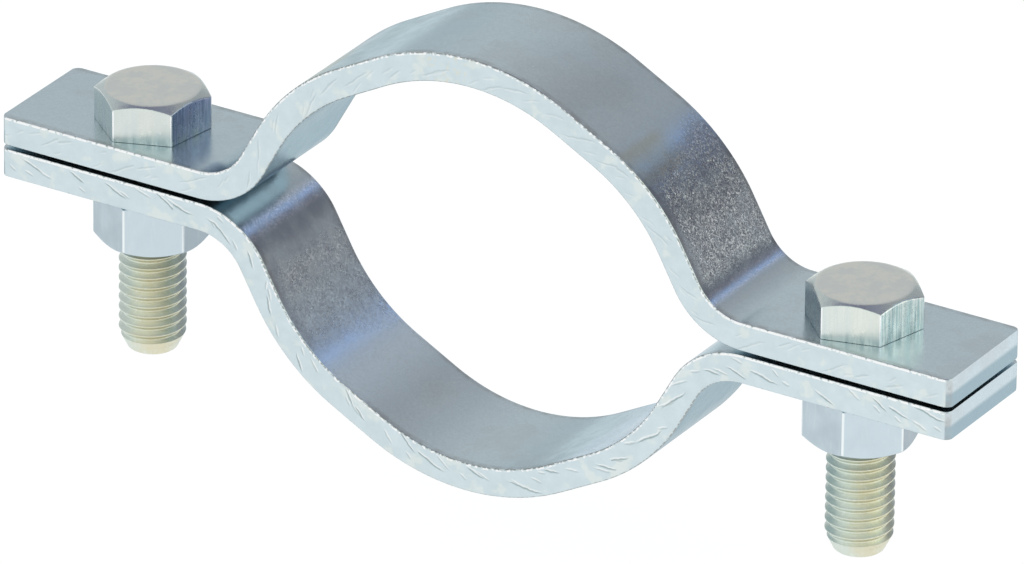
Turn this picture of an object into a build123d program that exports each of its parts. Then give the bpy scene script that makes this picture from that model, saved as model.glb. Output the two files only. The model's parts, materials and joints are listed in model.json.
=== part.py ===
from build123d import *
import os
from math import cos, pi, radians, sin, tan

os.makedirs("parts", exist_ok=True)

# Two-bolt pipe clamp: two bent flat-bar halves, two hex bolts and two hex nuts.
# Origin on the pipe's axis, midway between the halves. +Y runs along the pipe,
# +X along the ears to the right, +Z up towards the bolt heads. Millimetres.

# ---- pipe and flat bar ----
PIPE_R = 37.5              # seat of the halves, for a 75 mm pipe
BAR_W = 25.4               # width of the flat bar, along the pipe
BAR_T = 5.6                # thickness of the flat bar
EDGE_BREAK = 0.4           # broken edge left by rolling and shearing
CORNER_R = 1.5             # rounding of the sheared corners at the ear ends
EAR_GAP = 0.8              # gap between the ears with the halves run together
BOLT_SPACING = 150.3       # bolt centre to bolt centre
BOLT_TO_END = 24.85        # bolt centre to the ear's end

# ---- the bends of one half, measured on the pipe side ----
CROWN_ANGLE = 28.0         # half the angle over which the crown hugs the pipe
SHOULDER_L = 9.2           # straight run between the crown and the shoulder bend
SHOULDER_R = 35.0          # radius of the shoulder bend
FLANK_ANGLE = 61.0         # slope of the straight flank above the ears
EAR_BEND_R = 16.0          # radius of the bend into the ear

# ---- half-inch hexagon bolts and nuts, 13 threads to the inch ----
BOLT_R = 6.25              # over the crests of the thread
HOLE_R = 7.15              # clearance hole in the ears
BOLT_L = 45.0              # under the head to the tip
TIP_L = 3.4                # length of the tapered lead at the tip
TIP_DROP = 1.55            # how much smaller the tip is in radius
HEX_AF = 19.05             # across the flats, head and nut alike
HEX_TURNED_R = 8.8         # radius of the flat left inside the corner chamfer
HEX_CHAMFER = 30.0         # slope of that chamfer, degrees
HEAD_H = 7.5
NUT_H = 11.1
NUT_FIT = 0.05             # radial clearance of the nut on the bolt
NUT_SINK = 0.7             # countersink at each end of the nut

# Direction of one hexagon corner as each head and nut came to rest, degrees
SIDES = {"left": -1, "right": 1}
HEAD_TURN = {"left": 20.9, "right": 15.5}
NUT_TURN = {"left": 33.4, "right": 42.0}

EAR_END = BOLT_SPACING / 2 + BOLT_TO_END
EAR_Z = EAR_GAP / 2        # mating face of the upper ears
SEAT_Z = EAR_Z + BAR_T     # face the bolt heads sit on


def flank_length():
    """Straight run between the shoulder and the ear bend that lands the ear at EAR_Z."""
    crown, flank = radians(CROWN_ANGLE), radians(FLANK_ANGLE)
    height = PIPE_R * cos(crown) - SHOULDER_L * sin(crown)
    height -= SHOULDER_R * (cos(crown) - cos(flank))
    height -= EAR_BEND_R * (1 - cos(flank))
    return (height - EAR_Z) / sin(flank)


def bar_side(out):
    """Right half of the bar's section line, `out` mm outside the pipe side.

    The bar is followed from crown to ear end, each bend tangent to the last, the
    way it is pressed. Here x is along the ears and y is up.
    """
    crown = JernArc((0, PIPE_R + out), (1, 0), PIPE_R + out, -CROWN_ANGLE)
    run = PolarLine(crown @ 1, SHOULDER_L, direction=crown % 1)
    shoulder = JernArc(run @ 1, run % 1, SHOULDER_R + out, CROWN_ANGLE - FLANK_ANGLE)
    flank = PolarLine(shoulder @ 1, flank_length(), direction=shoulder % 1)
    ear_bend = JernArc(flank @ 1, flank % 1, EAR_BEND_R - out, FLANK_ANGLE)
    ear = Line(ear_bend @ 1, (EAR_END, EAR_Z + out))
    return [crown, run, shoulder, flank, ear_bend, ear]


def half_strap():
    """The upper half: flat bar bent over the pipe, with an ear drilled at each end."""
    inner, outer = bar_side(0), bar_side(BAR_T)
    crown = Line(inner[0] @ 0, outer[0] @ 0)
    end = Line(inner[-1] @ 1, outer[-1] @ 1)
    right = make_face([crown, *inner, end, *outer])
    section = right + mirror(right, Plane.YZ)
    bar = Rot(X=90) * extrude(section, BAR_W / 2, both=True)

    bar = fillet(bar.edges().filter_by(Axis.Z), CORNER_R)
    rims = bar.edges().filter_by(Axis.Z, reverse=True)
    rims = rims.filter_by(lambda e: abs(e.center().Y) > 1 or abs(e.center().X) > EAR_END - 0.1)
    bar = chamfer(rims, EDGE_BREAK)

    for side in SIDES.values():
        bar -= Pos(side * BOLT_SPACING / 2, 0, EAR_Z) * Cylinder(HOLE_R, 3 * BAR_T)
    return bar


def hexagon(height, both_ends):
    """A slice of hexagon bar from z = 0 up, its corners turned off at the top or at both ends."""
    slab = extrude(RegularPolygon(HEX_AF / 2 / cos(pi / 6), 6), height)
    spread = height / tan(radians(HEX_CHAMFER))
    cone = Pos(0, 0, height / 2) * Cone(HEX_TURNED_R + spread, HEX_TURNED_R, height)
    slab &= cone
    if both_ends:
        slab &= mirror(cone, Plane.XY.offset(height / 2))
    return slab


def bolt(side):
    """One bolt, head up, its shank through both ears to the tapered tip."""
    head = Rot(Z=HEAD_TURN[side]) * hexagon(HEAD_H, both_ends=False)
    shank = Pos(0, 0, -BOLT_L / 2) * Cylinder(BOLT_R, BOLT_L)
    shank = chamfer(shank.edges().sort_by(Axis.Z)[0], TIP_L, TIP_DROP)
    return Pos(SIDES[side] * BOLT_SPACING / 2, 0, SEAT_Z) * (head + shank)


def nut(side):
    """One nut, run up against the lower ear."""
    body = Rot(Z=NUT_TURN[side]) * hexagon(NUT_H, both_ends=True)
    body -= Pos(0, 0, NUT_H / 2) * Cylinder(BOLT_R + NUT_FIT, NUT_H)
    rims = body.edges().filter_by(GeomType.CIRCLE).group_by(lambda e: e.radius)[0]
    body = chamfer(rims, NUT_SINK)
    return Pos(SIDES[side] * BOLT_SPACING / 2, 0, -SEAT_Z - NUT_H) * body


upper = half_strap()
export_step(upper, "parts/upper_strap.step")
export_step(mirror(upper, Plane.XY), "parts/lower_strap.step")
for name in SIDES:
    export_step(bolt(name), f"parts/{name}_bolt.step")
    export_step(nut(name), f"parts/{name}_nut.step")
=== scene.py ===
# %% [markdown]
# # Two-bolt pipe clamp
# The clamp is two lengths of flat bar, each pressed into an arch with an ear at either
# end, drawn together round a pipe by two hex bolts and nuts. All of it is bright zinc
# plated steel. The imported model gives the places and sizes, and this script gives the
# same pieces their rounded edges, real threads and plated surfaces.

import json
import math

import bpy
from mathutils import Matrix, Vector

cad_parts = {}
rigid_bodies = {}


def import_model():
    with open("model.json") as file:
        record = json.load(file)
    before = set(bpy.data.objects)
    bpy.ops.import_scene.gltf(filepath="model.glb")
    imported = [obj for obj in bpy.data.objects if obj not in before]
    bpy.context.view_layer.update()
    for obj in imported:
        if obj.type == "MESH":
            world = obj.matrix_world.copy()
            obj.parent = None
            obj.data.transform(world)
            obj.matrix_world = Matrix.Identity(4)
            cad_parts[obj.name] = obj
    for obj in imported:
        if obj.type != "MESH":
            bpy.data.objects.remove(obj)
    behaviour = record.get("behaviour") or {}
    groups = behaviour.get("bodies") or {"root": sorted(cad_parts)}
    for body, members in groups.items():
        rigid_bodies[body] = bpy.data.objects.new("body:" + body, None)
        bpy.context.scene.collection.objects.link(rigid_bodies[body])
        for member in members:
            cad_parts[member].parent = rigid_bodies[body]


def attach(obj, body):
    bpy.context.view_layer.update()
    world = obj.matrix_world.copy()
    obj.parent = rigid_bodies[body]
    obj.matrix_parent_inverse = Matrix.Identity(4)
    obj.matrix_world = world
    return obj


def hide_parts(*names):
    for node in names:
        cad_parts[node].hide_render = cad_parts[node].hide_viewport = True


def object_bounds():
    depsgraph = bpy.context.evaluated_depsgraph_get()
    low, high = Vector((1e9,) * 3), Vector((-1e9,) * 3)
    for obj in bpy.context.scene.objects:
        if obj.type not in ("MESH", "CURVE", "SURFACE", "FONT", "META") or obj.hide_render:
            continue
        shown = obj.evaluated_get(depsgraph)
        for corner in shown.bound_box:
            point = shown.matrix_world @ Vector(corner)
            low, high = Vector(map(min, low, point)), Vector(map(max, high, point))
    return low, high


for leftover in list(bpy.data.objects):
    bpy.data.objects.remove(leftover)
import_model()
cad_box = [list(corner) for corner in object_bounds()]
MM = 0.001
print("clamp", [round(high - low, 4) for low, high in zip(*cad_box)], "m")


# %% [markdown]
# ## Camera
# A long lens from 31 degrees to the right and 26 degrees up keeps the ears nearly
# parallel, as in a catalogue picture. The camera is built from its angles, so the small
# roll can be written down as one number.

# %% Camera
VIEW_AZIMUTH, VIEW_ELEVATION, VIEW_ROLL = 31.288, 26.126, 0.687
VIEW_DISTANCE, VIEW_TARGET = 2.67212, Vector((1.874, 0.0, -5.868)) * MM
VIEW_LENS, SENSOR_WIDTH, FAR_CLIP = 521.233, 36.0, 50.0

camera_data = bpy.data.cameras.new("view_camera")
camera_data.lens = VIEW_LENS
camera_data.sensor_width = SENSOR_WIDTH
camera_data.clip_end = FAR_CLIP
camera = bpy.data.objects.new("view_camera", camera_data)
bpy.context.collection.objects.link(camera)
azimuth, elevation = math.radians(VIEW_AZIMUTH), math.radians(VIEW_ELEVATION)
back = Vector((math.sin(azimuth) * math.cos(elevation),
               -math.cos(azimuth) * math.cos(elevation), math.sin(elevation)))
right = Vector((math.cos(azimuth), math.sin(azimuth), 0.0))
turn = Matrix((right, back.cross(right), back)).transposed().to_4x4()
turn = turn @ Matrix.Rotation(math.radians(VIEW_ROLL), 4, "Z")
camera.matrix_world = Matrix.Translation(VIEW_TARGET + back * VIEW_DISTANCE) @ turn
bpy.context.scene.camera = camera
bpy.context.scene.view_settings.view_transform = "Standard"
print("camera at", [round(value, 3) for value in camera.matrix_world.translation])


# %% [markdown]
# ## Floor and studio
# A white floor fills the picture. Its own diffuse part is small, so the shadow stays
# soft and pale, and it is just as white in the metal's reflections as to the camera.
# The floor lies as far below the clamp as its lower half can run down, so that the half
# never sinks into it.

# %% Floor
def new_material(name):
    """An empty node material and its node tree."""
    material = bpy.data.materials.new(name)
    material.use_nodes = True
    tree = material.node_tree
    tree.nodes.clear()
    return material, tree


def node(tree, kind, inputs=None, **settings):
    """Adds one node; inputs may be plain values or sockets to link from."""
    made = tree.nodes.new(kind)
    for key, value in settings.items():
        setattr(made, key, value)
    for key, value in (inputs or {}).items():
        if isinstance(value, bpy.types.NodeSocket):
            tree.links.new(value, made.inputs[key])
        else:
            made.inputs[key].default_value = value
    return made


def clear_selection():
    """Deselects everything, so that an operator acts only on what is picked next."""
    bpy.ops.object.select_all(action="DESELECT")


LOWER_HALF_TRAVEL, FLOOR_SIZE = 20.0 * MM, 40.0
FLOOR_Z = cad_box[0][2] - LOWER_HALF_TRAVEL
clear_selection()
bpy.ops.mesh.primitive_plane_add(size=FLOOR_SIZE, location=(0.0, 0.0, FLOOR_Z))
floor = bpy.context.object
floor.name = "studio_floor"
paint, tree = new_material("white_floor")
plain = node(tree, "ShaderNodeBsdfDiffuse", {"Color": (0.8, 0.8, 0.8, 1.0)})
shadowed = node(tree, "ShaderNodeBsdfDiffuse", {"Color": (0.16, 0.16, 0.165, 1.0)})
glow = node(tree, "ShaderNodeEmission", {"Color": (1.0, 1.0, 1.0, 1.0), "Strength": 0.92})
seen = node(tree, "ShaderNodeAddShader", {0: shadowed.outputs[0], 1: glow.outputs[0]})
rays = node(tree, "ShaderNodeLightPath")
glossy = node(tree, "ShaderNodeMath", {0: rays.outputs["Is Camera Ray"],
                                       1: rays.outputs["Is Glossy Ray"]}, operation="MAXIMUM")
either = node(tree, "ShaderNodeMath", {0: glossy.outputs[0],
                                       1: rays.outputs["Is Transmission Ray"]}, operation="MAXIMUM")
mixed = node(tree, "ShaderNodeMixShader", {0: either.outputs[0], 1: plain.outputs[0],
                                           2: seen.outputs[0]})
node(tree, "ShaderNodeOutputMaterial", {"Surface": mixed.outputs[0]})
floor.data.materials.append(paint)
print("floor at", round(FLOOR_Z * 1000, 2), "mm")


# %% [markdown]
# ## Studio light
# Bright metal shows the room more than its own colour, so the room is the light: a tent of
# soft strips that run the same way as the pipe. It is pale on the left, grey-blue overhead
# and dark behind the right shoulder, with one thin blue strip between. The dark strip is
# what gives the right-hand flanks their deep tone. The front of the room is bright, so every
# rounded edge carries a light line, and a small dark patch overhead draws the chamfers.

# %% Studio light
def lobe(tree, direction, toward, inner, outer):
    """1 within `inner` degrees of a direction of the room, falling softly to 0 at `outer`."""
    aim = node(tree, "ShaderNodeVectorMath", {0: toward, 1: Vector(direction).normalized()},
               operation="DOT_PRODUCT")
    return node(tree, "ShaderNodeMapRange",
                {"Value": aim.outputs["Value"], "From Min": math.cos(math.radians(outer)),
                 "From Max": math.cos(math.radians(inner))},
                interpolation_type="SMOOTHSTEP").outputs[0]


def blend(tree, amount, below, above, how="MIX"):
    """Mixes two colours by a socket or number; either colour may be a plain one."""
    mix = node(tree, "ShaderNodeMix", data_type="RGBA", blend_type=how)
    for socket, value in ((mix.inputs[0], amount), (mix.inputs[6], below), (mix.inputs[7], above)):
        if isinstance(value, bpy.types.NodeSocket):
            tree.links.new(value, socket)
        elif isinstance(value, (int, float)):
            socket.default_value = value
        else:
            socket.default_value = (*value, 1.0)
    return mix.outputs[2]


room = bpy.data.worlds.new("studio_room")
bpy.context.scene.world = room
room.use_nodes = True
tree = room.node_tree
tree.nodes.clear()
toward = node(tree, "ShaderNodeTexCoord").outputs["Generated"]
sides = node(tree, "ShaderNodeSeparateXYZ", {"Vector": toward})
lean = node(tree, "ShaderNodeMath", {0: sides.outputs["X"], 1: sides.outputs["Z"]},
            operation="ARCTAN2")
across_room = node(tree, "ShaderNodeMapRange", {"Value": lean.outputs[0], "From Min": -math.pi,
                                                "From Max": math.pi})
strips = node(tree, "ShaderNodeValToRGB", {"Fac": across_room.outputs[0]})
strips.color_ramp.interpolation = "B_SPLINE"
# degrees from straight up, towards the right; tone of the room there
ROOM = ((-150, (0.80, 0.83, 0.85)), (-112, (0.66, 0.70, 0.72)), (-95, (0.55, 0.59, 0.60)),
        (-80, (0.62, 0.65, 0.67)), (-62, (0.65, 0.67, 0.685)), (-45, (0.615, 0.64, 0.65)),
        (-30, (0.56, 0.58, 0.595)), (-14, (0.475, 0.49, 0.515)), (0, (0.425, 0.435, 0.455)),
        (11, (0.40, 0.41, 0.425)), (20, (0.37, 0.38, 0.405)), (26, (0.33, 0.36, 0.42)),
        (29, (0.38, 0.58, 1.0)), (31, (0.38, 0.58, 1.0)), (34, (0.20, 0.22, 0.30)),
        (38, (0.15, 0.15, 0.175)), (52, (0.145, 0.14, 0.165)), (64, (0.16, 0.15, 0.18)),
        (76, (0.22, 0.21, 0.235)), (92, (0.42, 0.42, 0.44)), (150, (0.80, 0.81, 0.83)))
ramp = strips.color_ramp.elements
while len(ramp) > 1:
    ramp.remove(ramp[-1])
ramp[0].position = 0.0
ramp[0].color = (*ROOM[0][1], 1.0)
for degrees, tone in ROOM:
    ramp.new((degrees + 180.0) / 360.0).color = (*tone, 1.0)
# direction, inner and outer angle and tone of the large patches outside those strips
PATCHES = (((-0.1, -0.85, 0.5), 28, 62, (0.95, 1.0, 0.98)),
           ((0.90, 0.05, 0.42), 26, 40, (1.1, 1.2, 1.12)),
           ((-0.12, 0.0, 1.0), 14, 32, (0.20, 0.20, 0.30)))
tent = strips.outputs["Color"]
for way, inner, outer, tone in PATCHES:
    tent = blend(tree, lobe(tree, way, toward, inner, outer), tent, tone)
sky = node(tree, "ShaderNodeBackground", {"Color": tent, "Strength": 1.0})
node(tree, "ShaderNodeOutputWorld", {"Surface": sky.outputs[0]})
print("room light ready")


# %% [markdown]
# ## The bar and its bends
# Each half is flat bar pressed over a former: a crown that hugs the pipe, a short
# straight, a wider shoulder, a steep flank and a tight bend into the flat ear. The bar's
# own section is drawn once and then led along that line, spinning it through each bend
# and extruding it along each straight, as the press does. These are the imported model's
# values again.

# %% Sizes of the bar
PIPE_R, BAR_W, BAR_T = 37.5 * MM, 25.4 * MM, 5.6 * MM
EDGE_R, CORNER_R, EAR_GAP = 0.34 * MM, 1.5 * MM, 0.8 * MM
BOLT_X, BOLT_TO_END, HOLE_R = 75.15 * MM, 24.85 * MM, 7.15 * MM
CROWN, SHOULDER_L, SHOULDER_R = math.radians(28.0), 9.2 * MM, 35.0 * MM
FLANK, EAR_BEND_R = math.radians(61.0), 16.0 * MM
EAR_END, EAR_Z, SEAT_Z = BOLT_X + BOLT_TO_END, EAR_GAP / 2, EAR_GAP / 2 + BAR_T
rise = (PIPE_R * math.cos(CROWN) - SHOULDER_L * math.sin(CROWN)
        - SHOULDER_R * (math.cos(CROWN) - math.cos(FLANK))
        - EAR_BEND_R * (1 - math.cos(FLANK)) - EAR_Z)
FLANK_L = rise / math.sin(FLANK)
print("flank", round(FLANK_L / MM, 2), "mm long")


# %% The bar's section
def live_ring():
    """Middle of the vertices that are selected: the open end of the bar."""
    bpy.ops.object.mode_set(mode="OBJECT")
    ends = [v.co.copy() for v in bpy.context.object.data.vertices if v.select]
    bpy.ops.object.mode_set(mode="EDIT")
    return sum(ends, Vector()) / len(ends)


clear_selection()
bpy.ops.mesh.primitive_plane_add(size=1.0, location=(0.0, 0.0, PIPE_R + BAR_T / 2),
                                 rotation=(0.0, math.radians(90.0), 0.0))
half = bpy.context.object
half.name = "upper_half_strap"
half.scale = (BAR_T, BAR_W, 1.0)
bpy.ops.object.transform_apply(location=True, rotation=True, scale=True)
bpy.ops.object.mode_set(mode="EDIT")
bpy.ops.mesh.select_all(action="SELECT")
bpy.ops.mesh.bevel(offset=EDGE_R, offset_type="OFFSET", segments=4, profile=0.5,
                   affect="VERTICES")
bpy.ops.mesh.delete(type="ONLY_FACE")
bpy.ops.mesh.select_all(action="SELECT")
print("section drawn,", BAR_W / MM, "by", round(BAR_T / MM, 1), "mm")


# %% Lead the section along the bar's line
# middle of each ring, its direction and its place along the bar
stations = []


def note_station(direction):
    """Remembers the open end, and how far along the bar it lies."""
    middle = live_ring()
    place = (middle - stations[-1][0]).length + stations[-1][2] if stations else 0.0
    stations.append((middle, Vector(direction).normalized(), place))


def direction(slope):
    """Which way the bar runs where it slopes down by this angle."""
    return Vector((math.cos(slope), 0.0, -math.sin(slope)))


def press_bend(steps, start, finish, centre):
    """Spins the open end about an axis across the bar, a step at a time."""
    for step in range(steps):
        bpy.ops.mesh.spin(steps=1, angle=(start - finish) / steps, center=centre, axis=(0, 1, 0))
        note_station(direction(start + (finish - start) * (step + 1) / steps))


def run_straight(length, slope, steps):
    """Extrudes the open end along a slope, in equal steps."""
    for _ in range(steps):
        bpy.ops.mesh.extrude_region_move(
            TRANSFORM_OT_translate={"value": direction(slope) * (length / steps)})
        note_station(direction(slope))


note_station(direction(0.0))
press_bend(16, 0.0, CROWN, (0.0, 0.0, 0.0))
run_straight(SHOULDER_L, CROWN, 5)
across = Vector((math.sin(CROWN), 0.0, math.cos(CROWN)))
press_bend(16, CROWN, FLANK, live_ring() - across * (SHOULDER_R + BAR_T / 2))
run_straight(FLANK_L, FLANK, 4)
across = Vector((math.sin(FLANK), 0.0, math.cos(FLANK)))
press_bend(24, FLANK, 0.0, live_ring() + across * (EAR_BEND_R - BAR_T / 2))
run_straight(EAR_END - CORNER_R - live_ring().x, 0.0, 8)
print("bar led over", round(stations[-1][2] / MM, 1), "mm from the crown")


# %% Round the sheared corners and close the end
CORNER_STEPS, END_EDGE = 6, 0.15 * MM
inset_so_far = 0.0
for step in range(1, CORNER_STEPS + 1):
    angle = math.radians(90.0 * step / CORNER_STEPS)
    before = angle - math.radians(90.0 / CORNER_STEPS)
    bpy.ops.mesh.extrude_region_move(TRANSFORM_OT_translate={
        "value": (CORNER_R * (math.sin(angle) - math.sin(before)), 0.0, 0.0)})
    inset = CORNER_R * (1 - math.cos(angle))
    wide = (BAR_W / 2 - inset) / (BAR_W / 2 - inset_so_far)
    thin = 1.0 if step < CORNER_STEPS else (BAR_T - 2 * END_EDGE) / BAR_T
    inset_so_far = inset
    bpy.ops.transform.resize(value=(1.0, wide, thin), center_override=live_ring())
    note_station(direction(0.0))
bpy.ops.mesh.edge_face_add()
bpy.ops.object.mode_set(mode="OBJECT")
print("right half", len(half.data.vertices), "points")


# %% Mirror the other arm and drill both ears
def apply_modifier(piece, kind, **settings):
    """Adds one modifier, sets it and applies it."""
    clear_selection()
    bpy.context.view_layer.objects.active = piece
    piece.select_set(True)
    modifier = piece.modifiers.new(kind.lower(), kind)
    for key, value in settings.items():
        setattr(modifier, key, value)
    bpy.ops.object.modifier_apply(modifier=modifier.name)


def tidy_mesh(piece):
    """Merges doubles and turns every face outwards."""
    clear_selection()
    bpy.context.view_layer.objects.active = piece
    piece.select_set(True)
    bpy.ops.object.mode_set(mode="EDIT")
    bpy.ops.mesh.select_all(action="SELECT")
    bpy.ops.mesh.remove_doubles(threshold=1e-6)
    bpy.ops.mesh.normals_make_consistent(inside=False)
    bpy.ops.object.mode_set(mode="OBJECT")


def remove(piece):
    """Deletes an object that has done its work."""
    bpy.data.objects.remove(piece, do_unlink=True)


apply_modifier(half, "MIRROR", use_axis=(True, False, False), merge_threshold=1e-5)
tidy_mesh(half)
for side in (-1, 1):
    clear_selection()
    bpy.ops.mesh.primitive_cylinder_add(vertices=64, radius=HOLE_R, depth=4 * BAR_T,
                                        location=(side * BOLT_X, 0.0, EAR_Z + BAR_T / 2))
    drill = bpy.context.object
    apply_modifier(half, "BOOLEAN", operation="DIFFERENCE", object=drill, solver="EXACT")
    remove(drill)
print("upper half", len(half.data.polygons), "faces")


# %% [markdown]
# ### Remember the straight bar
# The plating's grain and the scratches run along the bar, round every bend. So each point
# keeps its place on the straight bar, before bending, as an attribute: along, across and
# through the bar. The finishes read that instead of the bent shape.

# %% Place on the straight bar
def unbend(piece):
    """Writes each point's place on the straight bar, as an attribute of the mesh."""
    places = []
    for vertex in piece.data.vertices:
        spot = Vector((abs(vertex.co.x), 0.0, vertex.co.z))
        middle, heading, place = min(stations, key=lambda station: (station[0] - spot).length)
        over = spot - middle
        outside = over.x * -heading.z + over.z * heading.x
        along = place + over.dot(heading)
        places.append((math.copysign(along, vertex.co.x), vertex.co.y, outside))
    layer = piece.data.attributes.new("straight_bar", "FLOAT_VECTOR", "POINT")
    layer.data.foreach_set("vector", [value for place in places for value in place])


unbend(half)
print("straight length", round(2 * stations[-1][2] / MM, 1), "mm")


# %% [markdown]
# ### The lower half
# Both halves come off the same press, so the lower one is the upper one turned upside
# down. It keeps its own mesh, and its pattern is moved along, so that no two marks match.

# %% Lower half
def soften(piece, angle=32.0):
    """Smooth shading up to an angle, with the broad faces deciding the normals."""
    clear_selection()
    bpy.context.view_layer.objects.active = piece
    piece.select_set(True)
    bpy.ops.object.shade_smooth_by_angle(angle=math.radians(angle))
    apply_modifier(piece, "WEIGHTED_NORMAL", keep_sharp=True, weight=80)


LOWER_SHIFT = 0.4       # how far along its pattern the lower half starts, in metres
lower = half.copy()
lower.data = half.data.copy()
lower.name = "lower_half_strap"
bpy.context.collection.objects.link(lower)
clear_selection()
bpy.context.view_layer.objects.active = lower
lower.select_set(True)
lower.scale = (1.0, 1.0, -1.0)
bpy.ops.object.transform_apply(location=False, rotation=False, scale=True)
tidy_mesh(lower)
for value in lower.data.attributes["straight_bar"].data:
    value.vector.x += LOWER_SHIFT
for strap, word in ((half, "upper"), (lower, "lower")):
    soften(strap)
    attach(strap, word + "_half")
    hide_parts(word + "_strap")
print("two halves,", len(half.data.vertices), "points each")


# %% [markdown]
# ## Bolts and nuts
# The bolts are half-inch, thirteen threads to the inch, with plain hexagon heads. A turned
# shape is drawn as its half outline and spun round, as on a lathe. A hexagon head is a
# hexagon bar with a turned blank kept inside it, which leaves the same curved chamfer on
# every corner as the real one has.

# %% Helpers for turned shapes
def draw_outline(name, points):
    """Draws an open outline of (radius, height) points by extruding a single vertex."""
    clear_selection()
    bpy.ops.mesh.primitive_plane_add(size=0.001, location=(points[0][0], 0.0, points[0][1]))
    piece = bpy.context.object
    piece.name = name
    bpy.ops.object.transform_apply(location=True, rotation=False, scale=False)
    bpy.ops.object.mode_set(mode="EDIT")
    bpy.ops.mesh.select_all(action="SELECT")
    bpy.ops.mesh.merge(type="CENTER")
    for (r0, z0), (r1, z1) in zip(points, points[1:]):
        bpy.ops.mesh.extrude_region_move(
            TRANSFORM_OT_translate={"value": (r1 - r0, 0.0, z1 - z0)})
    bpy.ops.object.mode_set(mode="OBJECT")
    return piece


def turned(name, points, steps=72):
    """Spins a closed half outline into a solid; its ends lie on the axis."""
    piece = draw_outline(name, points)
    apply_modifier(piece, "SCREW", angle=math.tau, screw_offset=0.0,
                   steps=steps, render_steps=steps, use_merge_vertices=True,
                   merge_threshold=2e-6, use_normal_calculate=True)
    tidy_mesh(piece)
    return piece


def combine(piece, tool, operation):
    """Cuts, keeps or joins with a second solid, which is used up."""
    apply_modifier(piece, "BOOLEAN", operation=operation, object=tool, solver="EXACT")
    remove(tool)


# %% Hexagon with turned corners
HEX_AF, HEX_TURNED_R, HEX_CHAMFER = 19.05 * MM, 8.8 * MM, math.radians(30.0)
HEX_BEVEL, HEAD_H, NUT_H = 0.18 * MM, 7.5 * MM, 11.1 * MM


def hexagon(name, height, both_ends):
    """Hexagon bar from z = 0 up, corner towards +X, its corners turned off."""
    clear_selection()
    bpy.ops.mesh.primitive_cylinder_add(vertices=6, radius=HEX_AF / 2 / math.cos(math.pi / 6),
                                        depth=height, location=(0.0, 0.0, height / 2),
                                        rotation=(0.0, 0.0, math.radians(30.0)))
    piece = bpy.context.object
    piece.name = name
    bpy.ops.object.transform_apply(location=True, rotation=True, scale=True)
    beyond, soft, extra = 3.0 * MM, 0.25 * MM, 1.0 * MM
    wide = HEX_TURNED_R + beyond
    fall = beyond * math.tan(HEX_CHAMFER)
    top = [(wide, height - fall), (HEX_TURNED_R + soft, height - soft * math.tan(HEX_CHAMFER)),
           (HEX_TURNED_R - soft / 2, height - 0.03 * MM), (HEX_TURNED_R - 2 * soft, height),
           (0.0, height)]
    if both_ends:
        bottom = [(r, height - z) for r, z in reversed(top)]
    else:
        bottom = [(0.0, -extra), (wide, -extra)]
    blank = turned("turned_blank", bottom + top, 96)
    combine(piece, blank, "INTERSECT")
    tidy_mesh(piece)
    apply_modifier(piece, "BEVEL", width=HEX_BEVEL, segments=2, limit_method="ANGLE",
                   angle_limit=math.radians(40.0), use_clamp_overlap=True)
    return piece


# %% [markdown]
# ### The thread
# A rolled thread is one ridge wound round the shank. Its outline over a single pitch is
# drawn once and the Screw modifier winds it, so the ridge climbs as a real one does. The
# same winding, shallower and just wider than the bolt, taps the nut.

# %% Winding a thread
PITCH = 25.4 * MM / 13
BOLT_R, TIP_L, TIP_DROP, BOLT_L = 6.25 * MM, 3.4 * MM, 1.55 * MM, 45.0 * MM
TIP_Z = SEAT_Z - BOLT_L
THREAD_DEPTH, THREAD_STEPS = 0.85 * MM, 56


def wind_thread(name, crest, root, low, high):
    """A threaded rod between two heights, by its radii over the crests and in the grooves."""
    points = [(root, 0.00), (root + 0.06 * MM, 0.12), (crest - 0.14 * MM, 0.39), (crest, 0.45),
              (crest, 0.55), (crest - 0.14 * MM, 0.61), (root + 0.06 * MM, 0.88), (root, 1.00)]
    first = math.floor(low / PITCH) - 1
    turns = math.ceil(high / PITCH) + 1 - first
    rod = draw_outline(name, [(r, (first + z) * PITCH) for r, z in points])
    apply_modifier(rod, "SCREW", angle=math.tau, screw_offset=PITCH, iterations=turns,
                   steps=THREAD_STEPS, render_steps=THREAD_STEPS, use_merge_vertices=True,
                   merge_threshold=2e-6, use_normal_calculate=True)
    for height, outer in ((low, False), (high, True)):
        bpy.ops.object.mode_set(mode="EDIT")
        bpy.ops.mesh.select_all(action="SELECT")
        bpy.ops.mesh.bisect(plane_co=(0, 0, height), plane_no=(0, 0, 1), use_fill=True,
                            clear_outer=outer, clear_inner=not outer, threshold=1e-7)
        bpy.ops.object.mode_set(mode="OBJECT")
    tidy_mesh(rod)
    return rod


rod = wind_thread("bolt_thread", BOLT_R, BOLT_R - THREAD_DEPTH, TIP_Z, SEAT_Z + 1.0 * MM)
blank = turned("tip_blank", [(0.0, TIP_Z), (BOLT_R - TIP_DROP - 0.3 * MM, TIP_Z),
                             (BOLT_R - TIP_DROP, TIP_Z + 0.25 * MM),
                             (BOLT_R - 0.15 * MM, TIP_Z + TIP_L - 0.3 * MM),
                             (BOLT_R + 0.1 * MM, TIP_Z + TIP_L + 0.5 * MM),
                             (BOLT_R + 0.1 * MM, SEAT_Z + 2.0 * MM), (0.0, SEAT_Z + 2.0 * MM)])
combine(rod, blank, "INTERSECT")
tidy_mesh(rod)
print("thread", len(rod.data.polygons), "faces")


# %% [markdown]
# ### The bolts
# The head sits straight on the ear, with no washer. Its corner direction is as it was left
# by the spanner, so the two heads differ. The head and its thread are one piece of steel.

# %% Bolts
# which side, and the degrees that a corner of the head and of the nut stand turned
BOLT_ENDS = {"left": (-1, 20.9, 33.4), "right": (1, 15.5, 42.0)}


def settle(piece, name, body):
    """Names a piece, lets it ride and gives it soft shading."""
    piece.name = name
    soften(piece, 38.0)
    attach(piece, body)
    print(name, len(piece.data.polygons), "faces")


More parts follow.
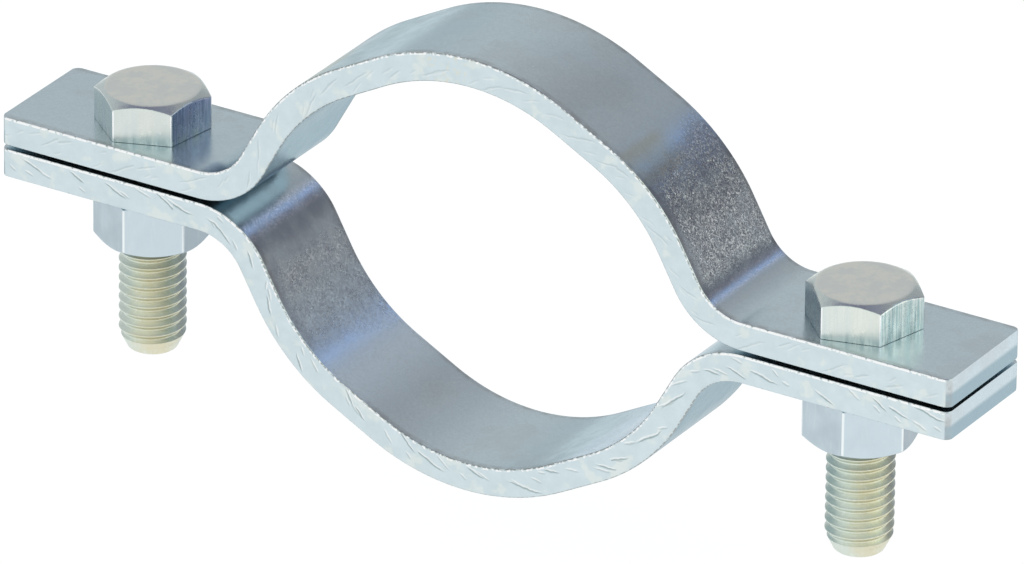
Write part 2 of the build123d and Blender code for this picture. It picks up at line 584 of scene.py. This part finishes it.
def place(piece, side, height, angle=0.0):
    """Turns a piece about its own axis and moves it to a bolt's place, in its mesh."""
    clear_selection()
    bpy.context.view_layer.objects.active = piece
    piece.select_set(True)
    piece.rotation_euler = (0.0, 0.0, math.radians(angle))
    piece.location = (side * BOLT_X, 0.0, height)
    bpy.ops.object.transform_apply(location=True, rotation=True, scale=True)


def twin(piece, name):
    """A copy with its own mesh."""
    other = piece.copy()
    other.data = piece.data.copy()
    other.name = name
    bpy.context.collection.objects.link(other)
    return other


head = hexagon("plain_head", HEAD_H, False)
bolts = {}
for word, (side, head_turn, nut_turn) in BOLT_ENDS.items():
    bolt = twin(head, word + "_hex_bolt")
    place(bolt, 0, SEAT_Z, head_turn)
    combine(bolt, twin(rod, "shank"), "UNION")
    place(bolt, side, 0.0)
    settle(bolt, word + "_hex_bolt", word + "_bolt")
    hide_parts(word + "_bolt")
    bolts[word] = bolt
remove(head)
remove(rod)


# %% [markdown]
# ### The nuts
# A nut is the same hexagon with its corners turned at both ends, countersunk and tapped by
# the same winding. Its thread stays a hair clear of the bolt's, because here the bolt can be
# turned while the nut stands still, and nothing may cut into it.

# %% Nuts
NUT_TOP, THREAD_CLEARANCE, TAP_DEPTH = -SEAT_Z, 0.07 * MM, 0.43 * MM
TAP_LOW, TAP_HIGH = -18.0 * MM, -4.0 * MM
tap_root = BOLT_R + THREAD_CLEARANCE
tap = wind_thread("tap", tap_root + TAP_DEPTH, tap_root, TAP_LOW, TAP_HIGH)
sink = 0.75 * MM
countersink = turned("countersink", [
    (0.0, NUT_TOP - NUT_H - sink), (BOLT_R + 2 * sink, NUT_TOP - NUT_H - sink),
    (BOLT_R - sink, NUT_TOP - NUT_H + 2 * sink), (BOLT_R - sink, NUT_TOP - 2 * sink),
    (BOLT_R + 2 * sink, NUT_TOP + sink), (0.0, NUT_TOP + sink)])
blank_nut = hexagon("plain_nut", NUT_H, True)
nuts = {}
for word, (side, head_turn, nut_turn) in BOLT_ENDS.items():
    nut = twin(blank_nut, word + "_hex_nut")
    place(nut, 0, NUT_TOP - NUT_H, nut_turn)
    combine(nut, twin(countersink, "sink"), "DIFFERENCE")
    combine(nut, twin(tap, "cutter"), "DIFFERENCE")
    place(nut, side, 0.0)
    settle(nut, word + "_hex_nut", word + "_nut")
    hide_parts(word + "_nut")
    nuts[word] = nut
for leftover in (blank_nut, tap, countersink):
    remove(leftover)


# %% [markdown]
# ## Finishes
# Everything is bright zinc, a thin plating that takes its look from the steel beneath. The
# broad faces are rolled and smooth, with a fine crystal grain where the bends stretched
# them. The narrow edges are sheared and pale, with hairline cracks in the plating. Each
# finish is built from small helpers, so the same grain can be laid at another scale.

# %% Helpers for patterns
def math_node(tree, operation, *values, clamp=False):
    """One Math node over sockets or numbers."""
    return node(tree, "ShaderNodeMath", dict(enumerate(values)), operation=operation,
                use_clamp=clamp).outputs[0]


def fade(tree, value, low, high, start=0.0, end=1.0):
    """Runs softly from start to end while value goes from low to high."""
    return node(tree, "ShaderNodeMapRange", {"Value": value, "From Min": low, "From Max": high,
                                             "To Min": start, "To Max": end},
                interpolation_type="SMOOTHSTEP").outputs[0]


def band(tree, value, middle, half_width, soft):
    """1 where value is within half_width of middle, falling to 0 over `soft` beyond it."""
    away = math_node(tree, "ABSOLUTE", math_node(tree, "SUBTRACT", value, middle))
    return fade(tree, away, half_width, half_width + soft, 1.0, 0.0)


def stretched(tree, place, scale, shift=(0.0, 0.0, 0.0)):
    """Places multiplied by a scale per direction, for a pattern longer one way."""
    return node(tree, "ShaderNodeMapping", {"Vector": place, "Scale": scale,
                                            "Location": shift}).outputs[0]


def clouds(tree, place, scale, detail=2.0, rough=0.5, part="Fac"):
    """Soft irregular noise."""
    return node(tree, "ShaderNodeTexNoise", {"Vector": place, "Scale": scale, "Detail": detail,
                                             "Roughness": rough}).outputs[part]


def crystals(tree, place, scale, part="Color", feature="F1"):
    """Small irregular cells."""
    return node(tree, "ShaderNodeTexVoronoi", {"Vector": place, "Scale": scale},
                feature=feature).outputs[part]


def split(tree, vector):
    """The three parts of a vector or colour."""
    parts = node(tree, "ShaderNodeSeparateXYZ", {"Vector": vector})
    return parts.outputs[0], parts.outputs[1], parts.outputs[2]


def metal(tree, colour, roughness, normal=None, height=None, depth=0.02 * MM, sharpness=1.0,
          bare=1.0, edge_tint=(1.0, 1.0, 1.0)):
    """A metal surface with its colour, roughness and, where given, facets and relief. `bare` is
    below 1 where a matt bloom lies over the metal, and `edge_tint` dulls its glancing shine."""
    inputs = {"Base Color": colour, "Roughness": roughness, "Metallic": bare}
    if normal is not None:
        inputs["Normal"] = normal
    if height is not None:
        relief = {"Height": height, "Distance": depth, "Strength": sharpness}
        if normal is not None:
            relief["Normal"] = normal
        inputs["Normal"] = node(tree, "ShaderNodeBump", relief).outputs[0]
    shader = node(tree, "ShaderNodeBsdfPrincipled", inputs)
    shader.inputs["Specular Tint"].default_value = (*edge_tint, 1.0)
    node(tree, "ShaderNodeOutputMaterial", {"Surface": shader.outputs[0]})


def tilt(tree, normal, pattern, amount):
    """Leans the surface a little by a random colour, so that each grain mirrors on its own."""
    centred = node(tree, "ShaderNodeVectorMath", {0: pattern, 1: (0.5, 0.5, 0.5)},
                   operation="SUBTRACT").outputs[0]
    scaled = node(tree, "ShaderNodeVectorMath", {0: centred}, operation="SCALE")
    if isinstance(amount, bpy.types.NodeSocket):
        tree.links.new(amount, scaled.inputs["Scale"])
    else:
        scaled.inputs["Scale"].default_value = amount
    added = node(tree, "ShaderNodeVectorMath", {0: normal, 1: scaled.outputs[0]}, operation="ADD")
    return node(tree, "ShaderNodeVectorMath", {0: added.outputs[0]},
                operation="NORMALIZE").outputs[0]


# %% [markdown]
# ### Shear marks on the cut edges
# A sheared edge has short drawn tears that run mostly along the bar and lean across it. One
# mark per stretch of bar is placed by a one-dimensional cell pattern. It gives each mark its
# own middle, and random numbers for its height, lean and length.

# %% One row of shear marks
def shear_marks(tree, along, through, place, spacing, reach, seed):
    """1 on each mark and 0 elsewhere, and the same mark moved a little to one side, for a painted
    highlight beside it.
    """
    row = math_node(tree, "ADD", math_node(tree, "DIVIDE", along, spacing), seed)
    cells = node(tree, "ShaderNodeTexVoronoi", {"W": row, "Scale": 1.0}, voronoi_dimensions="1D")
    chance = split(tree, cells.outputs["Color"])
    offset = math_node(tree, "MULTIPLY",
                       math_node(tree, "SUBTRACT", row, cells.outputs["W"]), spacing)
    lean = fade(tree, chance[0], 0.0, 1.0, 0.18, 0.55)
    middle = fade(tree, chance[1], 0.0, 1.0, -1.5 * MM, 1.3 * MM)
    length = fade(tree, chance[2], 0.0, 1.0, 0.45 * reach, reach)
    wave = math_node(tree, "SINE", math_node(tree, "DIVIDE", offset, 1.1 * MM))
    line = math_node(tree, "ADD", middle, math_node(tree, "MULTIPLY", offset, lean))
    line = math_node(tree, "ADD", line, math_node(tree, "MULTIPLY", wave, 0.16 * MM))
    shake = math_node(tree, "MULTIPLY", math_node(
        tree, "SUBTRACT", clouds(tree, place, 900.0, 2.0), 0.5), 0.5 * MM)
    away = math_node(tree, "SUBTRACT", math_node(tree, "SUBTRACT", through, line), shake)
    along_it = math_node(tree, "DIVIDE", math_node(tree, "ABSOLUTE", offset), length)
    ends = fade(tree, along_it, 0.45, 1.0, 1.0, 0.0)
    thick = fade(tree, along_it, 0.0, 1.0, 0.33 * MM, 0.08 * MM)
    mark = math_node(tree, "SUBTRACT", 1.0, math_node(
        tree, "DIVIDE", math_node(tree, "ABSOLUTE", away), thick), clamp=True)
    beside = math_node(tree, "ABSOLUTE", math_node(tree, "ADD", away, 0.30 * MM))
    painted_lip_highlight = math_node(tree, "SUBTRACT", 1.0, math_node(tree, "DIVIDE", beside, thick), clamp=True)
    return (math_node(tree, "MULTIPLY", mark, ends), math_node(tree, "MULTIPLY", painted_lip_highlight, ends))


# %% [markdown]
# ### Zinc on the rolled faces
# Each arch has a fair face, which looks up, and one that looks down, painted darker and bluer
# as painted shade. On the fair face the bends broke the surface up into fine crystals, each
# leaning its own way, and towards the ears they turn pale. A brownish border along the rim stays
# smooth. One side of the crown carries a painted shade, the lower half a painted blue sheen, and
# both a painted highlight at the ear's bend.

# %% Zinc on the rolled faces
def rolled_face(tree, place, local, across, through, fair_side, bloom):
    """Colour, grain and pale bloom; `fair_side` is 1 for the outside of the arch, -1 inside.
    The more `bloom` a half has, the less of it is grain."""
    arm, edge = math_node(tree, "ABSOLUTE", local), math_node(tree, "ABSOLUTE", across)
    # smooth plating with a faint patina, and a painted shade on one side of the crown
    fair = fade(tree, math_node(tree, "MULTIPLY", through, fair_side), -0.5 * MM, 0.5 * MM)
    cloud = clouds(tree, stretched(tree, place, (0.5, 1.0, 1.0)), 90.0, 3.0)
    face = blend(tree, cloud, (0.655, 0.745, 0.80), (0.705, 0.80, 0.835))
    patina = fade(tree, clouds(tree, place, 75.0, 3.0, 0.6), 0.48, 0.66, 0.0, 0.8)
    face = blend(tree, patina, face, (0.96, 0.935, 0.915), "MULTIPLY")
    # painted shade: one side of the crown is darkened, fading out before the ear's bend
    painted_crown_shade = math_node(tree, "MULTIPLY", local, -fair_side)
    painted_crown_shade = math_node(tree, "MULTIPLY", fade(tree, painted_crown_shade, 13.0 * MM, 28.0 * MM),
                     fade(tree, arm, 56.0 * MM, 62.0 * MM, 1.0, 0.0))
    face = blend(tree, painted_crown_shade, face, (0.74, 0.82, 0.82), "MULTIPLY")
    # the face that looks down, painted darker and bluer as painted shade, then fine dust and pits
    # over both
    face = blend(tree, fair, blend(tree, cloud, (0.37, 0.49, 0.56), (0.42, 0.54, 0.59)), face)
    dust = math_node(tree, "MULTIPLY", fade(tree, crystals(tree, place, 950.0, "Distance"),
                                            0.10, 0.20, 1.0, 0.0),
                     fade(tree, split(tree, crystals(tree, place, 950.0))[0], 0.80, 0.9, 0.0, 0.35))
    face = blend(tree, dust, face, (0.95, 0.97, 0.96))
    fine = clouds(tree, place, 2300.0, 2.0)
    face = blend(tree, fade(tree, fine, 0.35, 0.65, 0.10, 0.0), face, (0.35, 0.37, 0.38))

    # broken grain on the bends of the fair face, with smooth borders
    patchy = fade(tree, clouds(tree, place, 240.0, 4.0, 0.6), 0.34, 0.58, 0.55, 1.0)
    skewed = math_node(tree, "MULTIPLY_ADD", across, 0.30, arm)
    bent = math_node(tree, "MULTIPLY", fade(tree, skewed, 34.0 * MM, 40.0 * MM),
                     fade(tree, arm, (58.0 - 5.0 * bloom) * MM, (61.5 - 4.5 * bloom) * MM,
                          1.0 - 0.4 * bloom, 0.0))
    bent = math_node(tree, "MULTIPLY", bent, patchy)
    bent = math_node(tree, "MULTIPLY", bent, fade(tree, across, -11.6 * MM, -9.8 * MM))
    bent = math_node(tree, "MULTIPLY", bent, fade(tree, across, 11.2 * MM, 12.3 * MM, 1.0, 0.3))
    bent = math_node(tree, "MULTIPLY", bent, fair)
    # its crystals, dark and light, and the pale bloom towards the ears
    speck = fade(tree, split(tree, crystals(tree, place, 4600.0))[0], 0.35, 1.0)
    curd = fade(tree, clouds(tree, place, 1500.0, 3.0, 0.7), 0.38, 0.62)
    ripe = fade(tree, arm, 51.0 * MM, 59.0 * MM, 0.05, 1.3 - 0.9 * bloom)
    pale = math_node(tree, "MULTIPLY", math_node(tree, "MULTIPLY", bent, ripe),
                     math_node(tree, "MULTIPLY", curd, fade(tree, speck, 0.0, 1.0, 0.45, 1.0)))
    grain = blend(tree, math_node(tree, "MULTIPLY", speck, fade(tree, curd, 0.0, 1.0, 0.5, 1.0)),
                  (0.30, 0.31, 0.35), (1.0, 1.0, 1.0))
    wear_and_painted_light = blend(tree, math_node(tree, "MULTIPLY", bent, 0.85), face, grain)
    # a warm stain before the grain, a brown brim, a painted blue sheen, and a painted highlight at
    # the ear's bend
    smoke = math_node(tree, "MULTIPLY", band(tree, arm, 35.5 * MM, 2.5 * MM, 2.0 * MM),
                      fade(tree, across, -3.0 * MM, 4.0 * MM, 1.0 - bloom, 0.0))
    wear_and_painted_light = blend(tree, smoke, wear_and_painted_light, (0.98, 0.88, 0.72), "MULTIPLY")
    brim = math_node(tree, "MULTIPLY", fade(tree, edge, 11.0 * MM, 12.1 * MM),
                     fade(tree, clouds(tree, place, 500.0, 3.0), 0.35, 0.65, 0.25, 1.0))
    wear_and_painted_light = blend(tree, math_node(tree, "MULTIPLY", brim, 0.45), wear_and_painted_light, (0.36, 0.345, 0.32))
    # painted reflection: a blue sheen across the bend of the lower half
    painted_blue_sheen = math_node(tree, "MULTIPLY", band(tree, arm, 36.0 * MM, 6.0 * MM, 12.0 * MM), fair)
    painted_blue_sheen = math_node(tree, "MULTIPLY", painted_blue_sheen, math_node(tree, "MULTIPLY", bloom, fade(
        tree, curd, 0.0, 1.0, 0.16, 0.26)))
    wear_and_painted_light = blend(tree, math_node(tree, "MULTIPLY", painted_blue_sheen, 3.5), wear_and_painted_light, (0.80, 0.90, 1.0))
    # painted highlight: a white line across the ear's bend
    shine = math_node(tree, "MULTIPLY", band(tree, arm, 62.6 * MM, 1.0 * MM, 1.2 * MM), fair)
    wear_and_painted_light = blend(tree, math_node(tree, "MULTIPLY", shine, fade(tree, speck, 0.0, 1.0, 0.2, 1.0)),
                 wear_and_painted_light, (1.0, 1.0, 1.0))
    matt = math_node(tree, "MAXIMUM", math_node(tree, "MULTIPLY", pale, 0.55), painted_blue_sheen)
    return wear_and_painted_light, bent, matt


# %% [markdown]
# ### Zinc on the cut edges
# The sheared edges are pale, with drawn tears, each with a painted highlight beside it. Their
# corners have a broken burr, brown round the arch, with a painted highlight on the corner that
# looks up, brightest along the ears, and the crown of the upper half has a few spots where rust
# comes through.

# %% Zinc on the cut edges
def cut_edge(tree, place, along, local, through, fair_side, marks, stain):
    """Colour of the sheared edges, and the tears pressed into them. `marks` and `stain` say
    how strong the tears and the rust spots are on this half."""
    depth, arm = math_node(tree, "ABSOLUTE", through), math_node(tree, "ABSOLUTE", local)
    mark, painted_lip_highlight = shear_marks(tree, along, through, place, 8.5 * MM, 4.2 * MM, 0.0)
    short, short_painted_lip_highlight = shear_marks(tree, along, through, place, 5.3 * MM, 2.0 * MM, 0.37)
    mark = math_node(tree, "MAXIMUM", mark, math_node(tree, "MULTIPLY", short, 0.5))
    painted_lip_highlight = math_node(tree, "MAXIMUM", painted_lip_highlight, short_painted_lip_highlight)
    mark, painted_lip_highlight = (math_node(tree, "MULTIPLY", part, marks) for part in (mark, painted_lip_highlight))
    tone = blend(tree, clouds(tree, place, 420.0, 4.0, 0.6), (0.60, 0.705, 0.735),
                 (0.74, 0.84, 0.875))
    blot = fade(tree, clouds(tree, place, 240.0, 3.0), 0.54, 0.66, 0.0, 0.5)
    tone = blend(tree, blot, tone, (0.84, 0.88, 0.83))
    rust = math_node(tree, "MULTIPLY", band(tree, local, -5.0 * MM, 2.5 * MM, 5.0 * MM), stain)
    rust = math_node(tree, "MULTIPLY", rust, fade(tree, clouds(tree, place, 1300.0), 0.55, 0.68))
    tone = blend(tree, math_node(tree, "MULTIPLY", rust, 0.5), tone, (0.78, 0.76, 0.62))
    # painted highlight: a white line beside each tear
    tone = blend(tree, math_node(tree, "MULTIPLY", painted_lip_highlight, 0.8), tone, (0.99, 1.0, 1.0))
    tone = blend(tree, math_node(tree, "MULTIPLY", mark, 0.8), tone, (0.24, 0.33, 0.34))
    burr = clouds(tree, stretched(tree, place, (0.7, 1.0, 1.0)), 1900.0, 3.0)
    burr = math_node(tree, "ADD", burr, fade(tree, arm, 56.0 * MM, 72.0 * MM, 0.0, 0.10))
    rim = BAR_T / 2
    brown = math_node(tree, "MULTIPLY", fade(tree, depth, rim - 0.26 * MM, rim - 0.14 * MM),
                      fade(tree, burr, 0.46, 0.58, 0.8, 0.0))
    tone = blend(tree, brown, tone, (0.33, 0.30, 0.275))
    # painted highlight: white on the broken burr along the corner that looks up
    fair = math_node(tree, "MULTIPLY", through, fair_side)
    white = math_node(tree, "MULTIPLY", fade(tree, fair, rim - 0.60 * MM, rim - 0.40 * MM),
                      fade(tree, burr, 0.50, 0.56))
    tone = blend(tree, white, tone, (1.0, 1.0, 1.0))
    return tone, mark


# %% Put the strap's finish together
def strap_zinc(name, middle, fair_side, bloom, marks, stain):
    """Zinc on one half; `middle` is where its crown lies along the straight bar."""
    material, tree = new_material(name)
    place = node(tree, "ShaderNodeAttribute", attribute_name="straight_bar").outputs["Vector"]
    along, across, through = split(tree, place)
    local = math_node(tree, "SUBTRACT", along, middle)
    cut = fade(tree, math_node(tree, "ABSOLUTE", across), 12.45 * MM, 12.6 * MM)
    broad = math_node(tree, "SUBTRACT", 1.0, cut)
    wear_and_painted_light, bent, matt = rolled_face(tree, place, local, across, through, fair_side, bloom)
    sheared, mark = cut_edge(tree, place, along, local, through, fair_side, marks, stain)
    bent, matt = (math_node(tree, "MULTIPLY", part, broad) for part in (bent, matt))
    shape = node(tree, "ShaderNodeNewGeometry").outputs["Normal"]
    facet = tilt(tree, shape, crystals(tree, place, 4600.0),
                 math_node(tree, "MULTIPLY_ADD", bent, 0.22, 0.03))
    facet = tilt(tree, facet, crystals(tree, place, 1700.0),
                 math_node(tree, "MULTIPLY", bent, 0.08))
    facet = tilt(tree, facet, clouds(tree, place, 160.0, 2.0, 0.5, "Color"), 0.03)
    relief = math_node(tree, "SUBTRACT", math_node(tree, "MULTIPLY", clouds(
        tree, place, 800.0, 3.0), 0.35), math_node(tree, "MULTIPLY", mark, 1.5))
    roughness = fade(tree, clouds(tree, place, 300.0, 2.0), 0.3, 0.7, 0.21, 0.27)
    roughness = math_node(tree, "MULTIPLY_ADD", cut, 0.16, roughness)
    roughness = math_node(tree, "MULTIPLY_ADD", bent, 0.10, roughness)
    metal(tree, blend(tree, cut, wear_and_painted_light, sheared), roughness, facet,
          math_node(tree, "MULTIPLY", relief, cut), 0.05 * MM, 0.8,
          math_node(tree, "SUBTRACT", 1.0, matt), (0.68, 0.76, 0.79))
    return material


for strap, word, middle, fair_side, bloom, marks, stain in (
        (half, "upper", 0.0, 1.0, 0.0, 0.35, 1.0),
        (lower, "lower", LOWER_SHIFT, -1.0, 1.0, 1.0, 0.15)):
    strap.data.materials.clear()
    strap.data.materials.append(
        strap_zinc(f"{word}_strap_zinc", middle, fair_side, bloom, marks, stain))
print("straps plated")


# %% [markdown]
# ### Zinc on the bolts
# The forged top is matt and a little warm. The flats were drawn down the bar, so they
# carry fine upright lines, and the thread keeps more of the yellow tint of the bath on one
# side. The pattern is centred on the bolt's own axis.

# %% Zinc on the bolts
def own_axis(tree, side):
    """The piece's own place, measured from its bolt's axis."""
    whole = node(tree, "ShaderNodeTexCoord").outputs["Object"]
    return stretched(tree, whole, (1.0, 1.0, 1.0), (-side * BOLT_X, 0.0, 0.0))


def corner_highlight_lines(tree, x, y, turn, half_angle):
    """1 along the six upright corners of a hexagon whose first corner stands at `turn`."""
    facing = math_node(tree, "SUBTRACT", math_node(tree, "ARCTAN2", y, x), math.radians(turn))
    away = math_node(tree, "PINGPONG", facing, math.radians(30.0))
    return fade(tree, away, math.radians(half_angle) / 2, math.radians(half_angle), 1.0, 0.0)


def bolt_zinc(name, side, turn, warm_side, right_flat_shade):
    """Zinc on one bolt. `warm_side` is where its thread is yellow, in degrees, and the last
    argument is a painted shade laid on the flat that faces right."""
    material, tree = new_material(name)
    place = own_axis(tree, side)
    x, y, z = split(tree, place)
    shape = node(tree, "ShaderNodeNewGeometry").outputs["Normal"]
    nx, ny, nz = split(tree, node(tree, "ShaderNodeTexCoord").outputs["Normal"])
    top = fade(tree, nz, 0.93, 0.985)
    shank = fade(tree, z, SEAT_Z - 0.5 * MM, SEAT_Z - 0.1 * MM, 1.0, 0.0)
    upright = stretched(tree, place, (1.0, 1.0, 0.05))
    fine = clouds(tree, upright, 1900.0, 3.0, 0.65)
    broad = clouds(tree, upright, 300.0, 2.0)
    mottle = clouds(tree, place, 330.0, 4.0, 0.6)
    drawn = math_node(tree, "ADD", math_node(tree, "MULTIPLY", nx, 0.98),
                      math_node(tree, "MULTIPLY", ny, -0.2))
    drawn = fade(tree, drawn, 0.55, 0.9, 0.08, 1.0)
    streak = blend(tree, fade(tree, fine, 0.40, 0.60), (0.60, 0.70, 0.71), (1.0, 1.0, 0.97))
    flats = blend(tree, fade(tree, broad, 0.35, 0.65), (0.69, 0.765, 0.745), (0.75, 0.795, 0.74))
    # painted shade: the flat that faces right is multiplied by its bolt's shade tint
    flats = blend(tree, drawn, flats, blend(tree, 1.0, streak, right_flat_shade, "MULTIPLY"))
    # painted shade: the dark smudges at the foot of the head also paint the contact shade on the
    # ear
    low = fade(tree, z, SEAT_Z + 0.1 * MM, SEAT_Z + 2.4 * MM, 1.0, 0.0)
    smudge_and_contact_shade = math_node(tree, "MULTIPLY", low, fade(tree, clouds(tree, stretched(
        tree, place, (1.0, 1.0, 0.25)), 900.0, 3.0), 0.40, 0.62))
    flats = blend(tree, math_node(tree, "MULTIPLY", smudge_and_contact_shade, 0.75), flats, (0.42, 0.50, 0.50))
    # painted highlight: a light line down each upright corner of the head
    corners = math_node(tree, "MULTIPLY", corner_highlight_lines(tree, x, y, turn, 1.5),
                        fade(tree, nz, 0.1, 0.3, 1.0, 0.0))
    flats = blend(tree, corners, flats, (0.98, 1.0, 1.0))
    forged = blend(tree, fade(tree, mottle, 0.35, 0.65), (0.79, 0.81, 0.78), (0.90, 0.89, 0.81))
    colour = blend(tree, top, flats, forged)
    facing = math_node(tree, "ARCTAN2", y, x)
    warm = math_node(tree, "COSINE", math_node(tree, "SUBTRACT", facing, math.radians(warm_side)))
    warm = math_node(tree, "ADD", warm, math_node(tree, "MULTIPLY", mottle, 0.9))
    thread = blend(tree, fade(tree, warm, 0.7, 1.6), (0.72, 0.79, 0.72), (0.78, 0.75, 0.56))
    thread = blend(tree, fade(tree, fine, 0.5, 0.8, 0.0, 0.4), thread, (0.95, 0.99, 1.0))
    colour = blend(tree, shank, colour, thread)
    lean = math_node(tree, "MULTIPLY", drawn, math_node(tree, "MULTIPLY_ADD", top, -0.26, 0.26))
    lines = tilt(tree, shape, clouds(tree, upright, 1500.0, 2.0, 0.6, "Color"), lean)
    facet = tilt(tree, lines, crystals(tree, place, 2200.0), 0.045)
    roughness = fade(tree, mottle, 0.3, 0.7, 0.24, 0.32)
    roughness = math_node(tree, "MULTIPLY_ADD", top, 0.12, roughness)
    roughness = math_node(tree, "MULTIPLY_ADD", shank, 0.16, roughness)
    metal(tree, colour, roughness, facet)
    return material


# painted shade on each bolt's right-facing flat: dark blue on the left bolt, none on the right
RIGHT_FLAT_SHADE = {"left": (0.55, 0.60, 0.80), "right": (1.0, 1.0, 1.0)}
for word, (side, head_turn, _) in BOLT_ENDS.items():
    bolts[word].data.materials.clear()
    bolts[word].data.materials.append(
        bolt_zinc(f"{word}_bolt_zinc", side, head_turn, 10.0 * side - 35.0, RIGHT_FLAT_SHADE[word]))
print("bolts plated")


# %% [markdown]
# ### Zinc on the nuts
# The nuts are the smoothest pieces, pale blue-grey, with faint clouding. Painted light and shade
# makes the flats facing front-right and back-left lighter than the rest, and each upright corner
# carries a painted highlight line.

# %% Zinc on the nuts
def nut_zinc(name, side, turn):
    """Zinc on one nut."""
    material, tree = new_material(name)
    place = own_axis(tree, side)
    x, y, _ = split(tree, place)
    cloud = clouds(tree, place, 180.0, 3.0)
    fine = clouds(tree, stretched(tree, place, (1.0, 1.0, 0.15)), 1100.0, 3.0)
    nx, ny, nz = split(tree, node(tree, "ShaderNodeTexCoord").outputs["Normal"])
    # painted light and shade: flats facing front-right and back-left are painted lighter, the
    # others darker
    flat = math_node(tree, "ADD", math_node(tree, "MULTIPLY", nx, 0.40),
                     math_node(tree, "MULTIPLY", ny, -0.91))
    tone = math_node(tree, "ADD", math_node(tree, "ABSOLUTE", flat),
                     fade(tree, cloud, 0.3, 0.7, -0.08, 0.08))
    colour = blend(tree, fade(tree, tone, 0.35, 1.05), (0.37, 0.45, 0.50), (0.66, 0.765, 0.82))
    colour = blend(tree, fade(tree, fine, 0.55, 0.8, 0.0, 0.2), colour, (0.86, 0.90, 0.90))
    # painted highlight: a light line down each upright corner of the nut
    corners = math_node(tree, "MULTIPLY", corner_highlight_lines(tree, x, y, turn, 1.6), fade(
        tree, math_node(tree, "ABSOLUTE", nz), 0.1, 0.3, 1.0, 0.0))
    colour = blend(tree, corners, colour, (0.90, 0.96, 0.97))
    shape = node(tree, "ShaderNodeNewGeometry").outputs["Normal"]
    facet = tilt(tree, shape, clouds(tree, place, 500.0, 3.0, 0.5, "Color"), 0.06)
    roughness = fade(tree, cloud, 0.3, 0.7, 0.30, 0.38)
    metal(tree, colour, roughness, facet)
    return material


for word, (side, _, nut_turn) in BOLT_ENDS.items():
    nuts[word].data.materials.clear()
    nuts[word].data.materials.append(nut_zinc(f"{word}_nut_zinc", side, nut_turn))
print("nuts plated")
